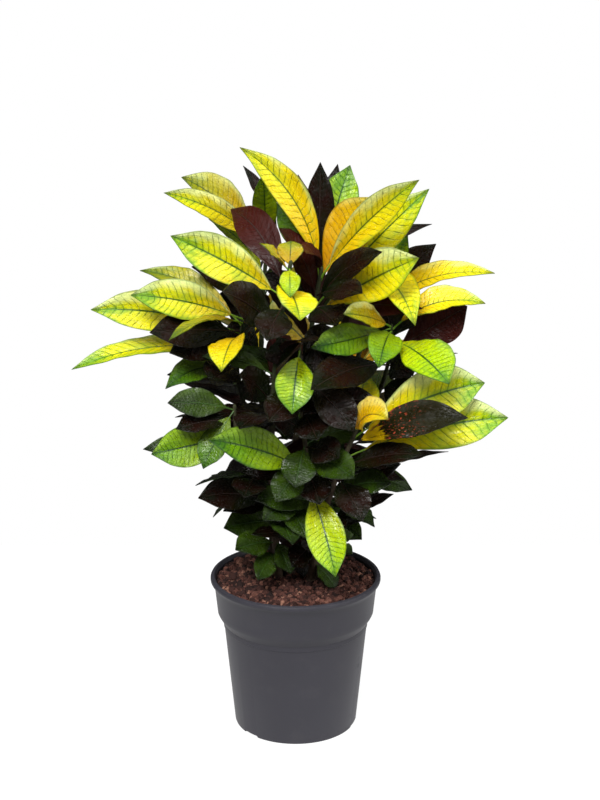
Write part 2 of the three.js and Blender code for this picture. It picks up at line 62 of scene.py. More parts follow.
# Studio
# A white floor under the pot that melts into an even white room, and three wide soft lights:
# the main one high in front and a little left, one overhead that gives the upper halves of the
# leaves their sheen, and a weaker one lower on the right.
floor_reach = 1.5
floor_grey = (90, 90, 90)
floor_glow = 0.93
room_light = 0.13
room_sheen = 0.1
white = (1, 1, 1, 1)
lights_height = 2

# Each light: turn round the plant from the front, angle above the floor, strength, spread
lights = {
    "light_main": (-22, 50, 3.4, 26),
    "light_top": (0, 72, 2.9, 80),
    "light_fill": (72, 28, 1.5, 60),
}


def paint(red, green, blue):
    """A colour given as it shows on a screen, 0 to 255, as the light that it reflects."""
    shares = [value / 255 for value in (red, green, blue)]
    linear = [((share + 0.055) / 1.055) ** 2.4 if share > 0.04 else share / 12.92 for share in shares]
    return (*linear, 1)


class Finish:
    """One procedural material, with short calls for the nodes that it is wired from."""

    def __init__(self, name, roughness, specular=0.5):
        self.material = bpy.data.materials.new(name)
        self.material.use_nodes = True
        self.tree = self.material.node_tree
        self.shader = self.tree.nodes["Principled BSDF"]
        self.shader.inputs["Roughness"].default_value = roughness
        self.shader.inputs["Specular IOR Level"].default_value = specular
        self.place = self.node("ShaderNodeTexCoord").outputs["Object"]

    def feed(self, socket, value):
        if isinstance(value, bpy.types.NodeSocket):
            self.tree.links.new(value, socket)
        else:
            socket.default_value = value

    def node(self, kind, **settings):
        made = self.tree.nodes.new(kind)
        for name, value in settings.items():
            setattr(made, name, value)
        return made

    def attribute(self, name):
        return self.node("ShaderNodeAttribute", attribute_name=name).outputs["Fac"]

    def maths(self, operation, first, second=0.0, third=0.0):
        made = self.node("ShaderNodeMath", operation=operation)
        for socket, value in zip(made.inputs, (first, second, third)):
            self.feed(socket, value)
        return made.outputs[0]

    def times(self, first, second):
        return self.maths("MULTIPLY", first, second)

    def plus(self, first, *others):
        for other in others:
            first = self.maths("ADD", first, other)
        return first

    def line(self, value, slope, start):
        """A straight rise with the value, by the slope, from what it is where the value is 0."""
        return self.maths("MULTIPLY_ADD", value, slope, start)

    def step(self, value, start, end, low=0.0, high=1.0):
        """A soft step: low where the value is under start, high where it is past end."""
        made = self.node("ShaderNodeMapRange", interpolation_type="SMOOTHSTEP")
        for name, given in zip(("Value", "From Min", "From Max", "To Min", "To Max"),
                               (value, start, end, low, high)):
            self.feed(made.inputs[name], given)
        return made.outputs["Result"]

    def blend(self, share, first, second):
        made = self.node("ShaderNodeMix", data_type="RGBA")
        self.feed(made.inputs[0], share)
        self.feed(made.inputs[6], first)
        self.feed(made.inputs[7], second)
        return made.outputs[2]

    def noise(self, scale, detail, roughness=0.5):
        made = self.node("ShaderNodeTexNoise")
        self.feed(made.inputs["Vector"], self.place)
        made.inputs["Scale"].default_value = scale
        made.inputs["Detail"].default_value = detail
        made.inputs["Roughness"].default_value = roughness
        return made.outputs["Fac"]

    def cells(self, scale, place=None, feature="F1"):
        made = self.node("ShaderNodeTexVoronoi", feature=feature)
        self.feed(made.inputs["Vector"], place or self.place)
        made.inputs["Scale"].default_value = scale
        return made.outputs["Distance"]

    def colour(self, value):
        self.feed(self.shader.inputs["Base Color"], value)

    def gloss(self, value):
        self.feed(self.shader.inputs["Roughness"], value)

    def relief(self, height, depth):
        made = self.node("ShaderNodeBump")
        made.inputs["Strength"].default_value = 1.0
        made.inputs["Distance"].default_value = depth
        self.feed(made.inputs["Height"], height)
        self.feed(self.shader.inputs["Normal"], made.outputs[0])


def name_piece(piece, name):
    piece.name = name
    piece.data.name = name


bpy.ops.mesh.primitive_plane_add(size=floor_reach)
floor = bpy.context.object
name_piece(floor, "floor")
floor_finish = Finish("white floor", roughness=0.9, specular=0.1)
floor_finish.colour(paint(*floor_grey))
floor_finish.shader.inputs["Emission Color"].default_value = white
floor_finish.shader.inputs["Emission Strength"].default_value = floor_glow
floor.data.materials.append(floor_finish.material)

for name, (round_from_front, height_angle, strength, spread) in lights.items():
    turn = (radians(90 - height_angle), 0, radians(round_from_front))
    bpy.ops.object.light_add(type="SUN", location=(0, 0, lights_height), rotation=turn)
    light = bpy.context.object
    light.name = name
    light.data.energy = strength
    light.data.angle = radians(spread)

# The room is white to the camera, and much dimmer as light and as a reflection
world = bpy.data.worlds.new("white room")
world.use_nodes = True
bpy.context.scene.world = world
room = world.node_tree
background = room.nodes["Background"]
lit = room.nodes.new("ShaderNodeLightPath")
seen = room.nodes.new("ShaderNodeMapRange")
sheen = room.nodes.new("ShaderNodeMapRange")
room.links.new(lit.outputs["Is Glossy Ray"], sheen.inputs["Value"])
sheen.inputs["To Min"].default_value = room_light
sheen.inputs["To Max"].default_value = room_sheen
room.links.new(lit.outputs["Is Camera Ray"], seen.inputs["Value"])
room.links.new(sheen.outputs["Result"], seen.inputs["To Min"])
seen.inputs["To Max"].default_value = 1.0
background.inputs["Color"].default_value = white
room.links.new(seen.outputs["Result"], background.inputs["Strength"])


# Pot
# A grower's pot in dark grey polypropylene, moulded in one shot: a tapering body, a stepped
# collar that stacks on the next pot, a rolled rim and drain slots cut into the foot.
pot_wall = 2.6 * mm
pot_floor = 3 * mm
pot_foot_radius = 98 * mm
pot_foot_round = 3 * mm
pot_foot_edge = 0.9 * mm
pot_step_z = 165.5 * mm
pot_step = 1 * mm
pot_shoulder_z = 174 * mm
pot_shoulder_radius = 114.8 * mm
pot_collar_z = 190 * mm
pot_collar_radius = 124.1 * mm
pot_collar_round = 1.8 * mm
pot_collar_round_height = 4 * mm
pot_collar_flare = 0.6 * mm
pot_collar_flare_height = 6 * mm
pot_lip_z = 233 * mm
pot_lip_radius = 128.6 * mm
pot_fold_z = 239 * mm
pot_fold_radius = 131 * mm
pot_rim_z = 243 * mm
pot_rim_radius = 135 * mm
pot_rim_round = 3.5 * mm
pot_rim_corner = 1.1 * mm
pot_rim_edge = 0.6 * mm
pot_rim_tuck = 0.5 * mm
pot_rim_band = 6 * mm
pot_rim_depth = 5 * mm
pot_height = 250 * mm
pot_sides = 144
drain_count = 3
drain_start = -137
drain_width = 30 * mm
drain_height = 4 * mm
drain_depth = 22 * mm
drain_round = 2 * mm

pot_outer = [
    (pot_foot_radius - pot_foot_round, 0), (pot_foot_radius - pot_foot_edge, pot_foot_edge),
    (pot_foot_radius, pot_foot_round), (pot_shoulder_radius - pot_step, pot_step_z),
    (pot_shoulder_radius, pot_step_z + pot_step), (pot_shoulder_radius, pot_shoulder_z),
    (pot_collar_radius - pot_collar_round, pot_collar_z - pot_collar_round_height),
    (pot_collar_radius, pot_collar_z),
    (pot_collar_radius + pot_collar_flare, pot_collar_z + pot_collar_flare_height),
    (pot_lip_radius, pot_lip_z), (pot_fold_radius, pot_fold_z),
    (pot_rim_radius - pot_rim_tuck, pot_rim_z - pot_rim_edge), (pot_rim_radius, pot_rim_z + pot_rim_edge),
    (pot_rim_radius, pot_height - pot_rim_round),
    (pot_rim_radius - pot_rim_corner, pot_height - pot_rim_corner),
    (pot_rim_radius - pot_rim_round, pot_height),
]
pot_inner = [
    (pot_rim_radius - pot_rim_band, pot_height), (pot_lip_radius - pot_wall, pot_height - pot_rim_depth),
    (pot_collar_radius - pot_wall, pot_collar_z), (pot_shoulder_radius - pot_wall, pot_shoulder_z),
    (pot_foot_radius - pot_wall, pot_floor + pot_foot_round),
    (pot_foot_radius - pot_foot_round - pot_wall, pot_floor),
]


def edit_all():
    """Open the active piece for editing, with all of it selected."""
    bpy.ops.object.mode_set(mode="EDIT")
    bpy.ops.mesh.select_all(action="SELECT")


def turn_on_axis(profile, sides):
    """A disc whose top face is drawn up ring by ring, through radii and heights, as on a wheel."""
    radius, height = profile[0]
    bpy.ops.mesh.primitive_circle_add(vertices=sides, radius=radius, fill_type="NGON",
                                      location=(0, 0, height))
    bpy.ops.object.transform_apply(location=True)
    edit_all()
    for next_radius, next_height in profile[1:]:
        bpy.ops.mesh.extrude_region_move(
            TRANSFORM_OT_translate={"value": (0, 0, next_height - height)})
        share = next_radius / radius
        bpy.ops.transform.resize(value=(share, share, 1), center_override=(0, 0, next_height))
        radius, height = next_radius, next_height
    bpy.ops.mesh.select_all(action="SELECT")
    bpy.ops.mesh.normals_make_consistent(inside=False)
    bpy.ops.object.mode_set(mode="OBJECT")
    return bpy.context.object


def select_only(*pieces):
    """Select these pieces and nothing else, with the first as the active one."""
    bpy.ops.object.select_all(action="DESELECT")
    for piece in pieces:
        piece.select_set(True)
    bpy.context.view_layer.objects.active = pieces[0]


def apply_modifiers(piece):
    select_only(piece)
    for modifier in list(piece.modifiers):
        bpy.ops.object.modifier_apply(modifier=modifier.name)


def shade(piece, angle):
    select_only(piece)
    bpy.ops.object.shade_smooth_by_angle(angle=radians(angle))


def drain_cutter(turn):
    """A round-edged block across the edge of the foot, the shape of one drain slot."""
    place = (pot_foot_radius * cos(turn), pot_foot_radius * sin(turn), 0)
    bpy.ops.mesh.primitive_cube_add(size=1, location=place, rotation=(0, 0, turn),
                                    scale=(drain_depth, drain_width, 2 * drain_height))
    bevel = bpy.context.object.modifiers.new("soft edges", "BEVEL")
    bevel.width = drain_round
    bevel.segments = 3
    bevel.limit_method = "ANGLE"
    bevel.angle_limit = radians(30)
    return bpy.context.object


pot = turn_on_axis(pot_outer + pot_inner, pot_sides)
name_piece(pot, "pot_shell")

for i in range(drain_count):
    slot = drain_cutter(radians(drain_start + 360 * i / drain_count))
    cut = pot.modifiers.new("drain slot", "BOOLEAN")
    cut.operation = "DIFFERENCE"
    cut.solver = "EXACT"
    cut.object = slot
    apply_modifiers(pot)
    bpy.data.objects.remove(slot)

shade(pot, 25)

pot_finish = Finish("dark grey plastic", roughness=0.5, specular=0.3)
flow = pot_finish.noise(9, 3)
grain = pot_finish.noise(900, 2)
dust = pot_finish.step(pot_finish.noise(34, 6, roughness=0.65), 0.52, 0.78)
plastic = pot_finish.blend(flow, paint(44, 43, 49), paint(50, 49, 56))
pot_finish.colour(pot_finish.blend(pot_finish.times(dust, 0.16), plastic, paint(84, 81, 82)))
pot_finish.gloss(pot_finish.step(dust, 0, 1, 0.5, 0.64))
pot_finish.relief(grain, 0.05 * mm)
pot.data.materials.append(pot_finish.material)
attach(pot, "root")
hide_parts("pot")


# Soil
# Dry peat and baked clay crumbs, filled to just under the rim and mounded towards the stems.
# The body is one lumpy mass; the crumbs that show lie half sunk in its top.
soil_clearance = 0.35 * mm
soil_edge_z = 240 * mm
soil_edge_drop = 4 * mm
soil_mound = 4 * mm
soil_bump = 1.4 * mm
soil_sink = 1.2 * mm
soil_rings = 30
soil_seed = 58
crumb_kinds = 7
crumb_count = 2700
crumb_sizes = (2.4 * mm, 6.4 * mm)
small_crumbs = 2.2
crumb_roundness = 0.7
crumb_stretch = 0.28
crumb_dents = 0.22
crumb_sink = 0.9 * mm
crumb_scatter = 1.6 * mm
crumb_margin = 1.5 * mm
crumb_gap = 0.2 * mm


def soil_height(x, y):
    """The lumpy top: a low mound with waves of three lengths across each other."""
    out = np.hypot(x, y) / pot_collar_radius
    lumps = (np.sin(x / mm * 0.13 + 1.3) * np.cos(y / mm * 0.17)
             + 0.7 * np.sin(x / mm * 0.31 + y / mm * 0.23)
             + 0.5 * np.cos(x / mm * 0.47 - y / mm * 0.41 + 0.8))
    return soil_edge_z + soil_mound * (1 - out * out) + soil_bump * lumps


def mesh_points(piece):
    flat = np.zeros(len(piece.data.vertices) * 3)
    piece.data.vertices.foreach_get("co", flat)
    return flat.reshape(-1, 3)


def mesh_faces(piece):
    return [list(face.vertices) for face in piece.data.polygons]


inner_lip, inner_collar, inner_shoulder, inner_foot, inner_floor = pot_inner[1:]
wall_slope = (inner_lip[0] - inner_collar[0]) / (inner_lip[1] - inner_collar[1])
soil_edge = (inner_collar[0] + wall_slope * (soil_edge_z - soil_edge_drop - inner_collar[1])
             - soil_clearance)
soil_profile = [
    (inner_floor[0] - soil_clearance, inner_floor[1] + soil_clearance),
    (inner_foot[0] - soil_clearance, inner_foot[1] + soil_clearance),
    (inner_shoulder[0] - soil_clearance, inner_shoulder[1]),
    (inner_collar[0] - soil_clearance, inner_collar[1]),
]
soil_profile += [(soil_edge * (1 - i / soil_rings), soil_edge_z) for i in range(soil_rings)]
soil = turn_on_axis(soil_profile, pot_sides)
name_piece(soil, "soil_body")
points = mesh_points(soil)
on_top = points[:, 2] > inner_collar[1] + mm
points[on_top, 2] = soil_height(points[on_top, 0], points[on_top, 1]) - soil_sink
soil.data.vertices.foreach_set("co", points.ravel())
soil.data.update()
shade(soil, 60)

soil_finish = Finish("peat", roughness=0.95, specular=0.2)
peat = soil_finish.blend(soil_finish.noise(120, 5), paint(28, 15, 12), paint(66, 40, 32))
clod = soil_finish.step(soil_finish.cells(420), 0.1, 0.5)
soil_finish.colour(soil_finish.blend(clod, peat, paint(44, 26, 20)))
soil_finish.relief(soil_finish.noise(500, 4), 1.2 * mm)
soil.data.materials.append(soil_finish.material)
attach(soil, "root")
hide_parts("soil")

soil_draw = np.random.RandomState(soil_seed)
crumb_masters = []
for kind in range(crumb_kinds):
    bpy.ops.mesh.primitive_cube_add(size=2)
    edit_all()
    bpy.ops.mesh.subdivide(number_cuts=1, smoothness=0.8)
    bpy.ops.object.mode_set(mode="OBJECT")
    crumb = bpy.context.object
    points = mesh_points(crumb)
    points *= 1 / np.linalg.norm(points, axis=1)[:, None] ** crumb_roundness
    points *= 1 + crumb_stretch * (soil_draw.rand(len(points), 1) - 0.5)
    points += crumb_dents * (soil_draw.rand(*points.shape) - 0.5)
    points *= (1, 0.7 + 0.3 * soil_draw.rand(), 0.55 + 0.35 * soil_draw.rand())
    crumb_masters.append((points, mesh_faces(crumb)))
    bpy.data.objects.remove(crumb)


def random_turn(draw):
    """A rotation matrix with no preferred direction."""
    turned, _ = np.linalg.qr(draw.normal(size=(3, 3)))
    return turned * np.sign(np.linalg.det(turned))


def gather(parts):
    """Points and faces of many small meshes as those of one."""
    points = []
    faces = []
    used = 0
    for part_points, part_faces in parts:
        points.append(part_points)
        faces += [[corner + used for corner in face] for face in part_faces]
        used += len(part_points)
    return np.vstack(points), faces


def build_piece(name, points, faces):
    mesh = bpy.data.meshes.new(name)
    mesh.from_pydata(points.tolist(), [], faces)
    piece = bpy.data.objects.new(name, mesh)
    bpy.context.scene.collection.objects.link(piece)
    return piece


def add_mark(piece, name, values):
    """A value at each point of the mesh that the piece's finish reads by its name."""
    mark = piece.data.attributes.new(name, "FLOAT", "POINT")
    mark.data.foreach_set("value", values)


crumb_parts = []
crumb_marks = []
for i in range(crumb_count):
    shape, faces = crumb_masters[i % crumb_kinds]
    out = (soil_edge - crumb_margin) * sqrt(soil_draw.rand())
    turn = 2 * pi * soil_draw.rand()
    x, y = out * cos(turn), out * sin(turn)
    size = crumb_sizes[0] + (crumb_sizes[1] - crumb_sizes[0]) * soil_draw.rand() ** small_crumbs
    middle = np.array([x, y, soil_height(x, y) - crumb_sink + crumb_scatter * soil_draw.rand()])
    crumb_parts.append((shape @ random_turn(soil_draw).T * size + middle, faces))
    crumb_marks.append(np.full(len(shape), soil_draw.rand()))
crumb_points, crumb_faces = gather(crumb_parts)
reach = np.hypot(crumb_points[:, 0], crumb_points[:, 1])
free = soil_edge + wall_slope * (crumb_points[:, 2] - soil_edge_z) - crumb_gap
crumb_points[:, :2] *= np.minimum(1, free / np.maximum(reach, mm))[:, None]
crumbs = build_piece("soil_crumbs", crumb_points, crumb_faces)
add_mark(crumbs, "crumb_mark", np.concatenate(crumb_marks))
shade(crumbs, 40)

crumb_finish = Finish("clay crumbs", roughness=0.92, specular=0.25)
ramp = crumb_finish.node("ShaderNodeValToRGB")
crumb_finish.feed(ramp.inputs[0], crumb_finish.attribute("crumb_mark"))
crumb_tones = [(0, (24, 13, 11)), (0.35, (54, 31, 26)), (0.7, (82, 49, 41)), (0.9, (108, 70, 59)),
               (1, (140, 100, 82))]
for at, tone in crumb_tones[1:-1]:
    ramp.color_ramp.elements.new(at)
for element, (at, tone) in zip(ramp.color_ramp.elements, crumb_tones):
    element.position = at
    element.color = paint(*tone)
crumb_dirt = crumb_finish.times(crumb_finish.step(crumb_finish.noise(700, 4), 0.4, 0.65), 0.6)
crumb_finish.colour(crumb_finish.blend(crumb_dirt, ramp.outputs[0], paint(34, 18, 15)))
crumb_finish.relief(crumb_finish.noise(900, 4), 0.6 * mm)
crumbs.data.materials.append(crumb_finish.material)
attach(crumbs, "root")


# Stems
# Six woody stems stand in the soil, and five of them carry one branch each. The bark is thin and
# grey-brown below, greener above, and ringed with the scars of leaves that have dropped. From
# here on, sizes and places are plain millimetres until they reach a mesh.
trunk_foot_radius = 7
trunk_tip_radius = 3
branch_foot_radius = 4.8
branch_tip_radius = 2.6
stem_sides = 14
ring_spacing = 3.5
scar_spacing = 13
scar_length = 2.6
scar_height = 0.7
root_flare = 1.3
flare_middle = 52
flare_length = 14
golden_angle = 137.508
trunks = {
    "centre": [[0, 24, 186], [-22, 14, 360], [6, -6, 540], [39, -18, 749]],
    "left_back": [[-26, 38, 186], [-40, 50, 340], [-70, 80, 520], [-44, 105, 759]],
    "left_front": [[-20, 0, 186], [-36, -22, 340], [-52, -70, 540], [-6, -95, 774]],
    "right_back": [[26, 38, 186], [42, 62, 360], [92, 90, 520], [118, 75, 694]],
    "right_front": [[20, -4, 186], [28, -34, 330], [50, -90, 420], [90, -125, 529]],
    "back_left": [[-6, 62, 186], [-10, 110, 340], [-60, 170, 480], [-75, 165, 670]],
}
branches = {
    "left_low": ["left_back", 0.42, [-70, 46, 500], [-112, 10, 570], [-75, -15, 672]],
    "left_out": ["left_front", 0.36, [-50, -50, 420], [-95, -80, 470], [-90, -88, 555]],
    "right_low": ["right_back", 0.42, [90, 50, 470], [150, 0, 540], [144, -30, 664]],
    "front": ["right_front", 0.34, [20, -60, 420], [10, -112, 520], [6, -116, 654]],
    "back_right": ["back_left", 0.36, [20, 150, 430], [70, 185, 530], [80, 172, 650]],
}


def unit(vectors):
    return vectors / np.linalg.norm(vectors, axis=-1, keepdims=True)


def along_curve(curve, t):
    """Points on a cubic curve, in millimetres, at the shares t of its length."""
    t = np.asarray(t, float)[..., None]
    u = 1 - t
    weights = (u ** 3, 3 * u * u * t, 3 * u * t * t, t ** 3)
    return sum(weight * corner for weight, corner in zip(weights, curve))


# Each shoot: the stem that it belongs to, its curve, and its radius at the foot and at the tip
shoots = {}
for name, corners in trunks.items():
    shoots[name] = (name, np.array(corners, float), trunk_foot_radius, trunk_tip_radius)
for name, (parent, start, *corners) in branches.items():
    curve = np.array([along_curve(shoots[parent][1], start), *corners], float)
    shoots[name] = (parent, curve, branch_foot_radius, branch_tip_radius)

bpy.ops.mesh.primitive_cylinder_add(vertices=stem_sides, radius=1, depth=1, end_fill_type="NOTHING")
rod = bpy.context.object
rod_ring = mesh_points(rod)[:stem_sides * 2:2]
stem_turns = np.sort(np.arctan2(rod_ring[:, 1], rod_ring[:, 0]) % (2 * pi))
bpy.data.objects.remove(rod)


def ring_points(middle, across, out, radius, turns):
    """Rings of points round a middle line, one ring after another."""
    rings = (middle[:, None] + across[:, None] * (radius * np.cos(turns))[..., None]
             + out[:, None] * (radius * np.sin(turns))[..., None])
    return rings.reshape(-1, 3)


def tube_faces(rings, sides):
    """Faces of a tube of rings of points, closed with a fan to one more point at each end."""
    rows = np.arange(rings - 1)[:, None] * sides
    here = np.arange(sides)
    after = (here + 1) % sides
    wall = np.stack([rows + here, rows + after, rows + sides + after, rows + sides + here], axis=-1)
    foot = [[rings * sides, b, a] for a, b in zip(here, after)]
    last = (rings - 1) * sides
    top = [[rings * sides + 1, last + a, last + b] for a, b in zip(here, after)]
    return wall.reshape(-1, 4).tolist() + foot + top


def stem_tube(curve, foot, tip, seed):
    """Points, faces and scar marks of one shoot, from its foot to its growing point."""
    trail = along_curve(curve, np.linspace(0, 1, 60))
    length = np.linalg.norm(np.diff(trail, axis=0), axis=1).sum()
    rings = int(length / ring_spacing)
    t = np.linspace(0, 1, rings)
    middle = along_curve(curve, t)
    ahead = unit(along_curve(curve, t + 0.01) - along_curve(curve, t - 0.01))
    across = unit(np.array([1.0, 0, 0]) - ahead * ahead[:, :1])
    run = (t * length)[:, None]
    radius = (foot + (tip - foot) * t)[:, None]
    scar = np.zeros((rings, stem_sides))
    for i in range(int(length / scar_spacing)):
        turn = radians(golden_angle * i + 40 * seed)
        near = np.exp(-((run - (i + 0.5) * scar_spacing) / scar_length) ** 2)
        scar = np.maximum(scar, near * (0.25 + 0.75 * np.exp(2.2 * (np.cos(stem_turns - turn) - 1))))
    ripple = (0.25 * np.sin(run / 9 + seed) * np.cos(stem_turns * 2 + run / 23)
              + 0.15 * np.sin(stem_turns * 5 + run / 6))
    flare = root_flare if foot == trunk_foot_radius else 0
    flare *= np.exp(-((run - flare_middle) / flare_length) ** 2)
    wide = radius + scar * scar_height * radius / 6 + ripple * radius / 8 + flare
    rings_round = ring_points(middle, across, np.cross(ahead, across), wide, stem_turns)
    points = np.vstack([rings_round, middle[0], middle[-1] + ahead[-1] * tip])
    return points, tube_faces(rings, stem_sides), np.append(scar.ravel(), [0, 0])


bark = Finish("bark", roughness=0.8, specular=0.3)
height = bark.node("ShaderNodeSeparateXYZ")
bark.feed(height.inputs[0], bark.place)
streak_place = bark.node("ShaderNodeMapping")
bark.feed(streak_place.inputs["Vector"], bark.place)
streak_place.inputs["Scale"].default_value = (1, 1, 0.25)
bark.place = streak_place.outputs[0]
streaks = bark.noise(260, 4)
woody = bark.blend(streaks, paint(54, 42, 34), paint(98, 82, 66))
green_wood = bark.blend(streaks, paint(34, 42, 22), paint(62, 70, 38))
grown = bark.step(height.outputs["Z"], 0.40, 0.62)
skin = bark.blend(grown, woody, green_wood)
pores = bark.step(bark.cells(330), 0.10, 0.22, 1, 0)
skin = bark.blend(bark.times(pores, 0.4), skin, paint(120, 106, 88))
bark.colour(bark.blend(bark.times(bark.attribute("leaf_scar"), 0.7), skin, paint(36, 27, 22)))
bark.relief(bark.plus(streaks, pores), 0.5 * mm)

for name in trunks:
    tubes = [stem_tube(curve, foot, tip, i) for i, (stem, curve, foot, tip) in enumerate(shoots.values())
             if stem == name]
    points, faces = gather([(tube_points * mm, sides) for tube_points, sides, marks in tubes])
    piece = build_piece(f"wood_{name}", points, faces)
    add_mark(piece, "leaf_scar", np.concatenate([marks for tube_points, sides, marks in tubes]))
    piece.data.materials.append(bark.material)
    shade(piece, 60)
    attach(piece, "root")
    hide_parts(f"stem_{name}")


# Leaves
# Leathery blades on short stalks, each arched along its midrib, folded a little and waved at
# the margin. Sunlit leaves are yellow or lime between green veins, shaded ones nearly black.
petiole_share = 0.12
petiole_radius = 1.3
petiole_flare = 0.5
petiole_flare_run = 0.03
leaf_thickness = 0.9
leaf_fold = 18
dark_fold = 7
dark_drop = 0.4
fold_softness = 0.004
leaf_wave = 2.6
waves_per_blade = 1.6
wave_lag = 0.3
leaf_ruffle = 0.8
ruffles_per_blade = 6.3
blade_round = 0.8
tip_start = 0.8
tip_run = 0.2
tip_taper = 0.22
blade_bulge = 1.12
full_blade_bulge = 1.45
full_leaf = 70
vein_pairs = 17
columns_per_vein = 3
blade_rows = 14
vein_sweep = 0.11
vein_relief = 0.5
dark_vein_relief = 0.28
rib_sides = 8
rib_rings = 22
rib_end = 0.975
rib_start_share = 0.7
rib_end_radius = 0.2
rib_sink = 0.55
merge_gap = 0.02
bright_tones = ["gold", "lemon", "lime", "fern", "amber", "olive", "fleck"]
tones = [*bright_tones, "moss", "green", "plum", "wine"]

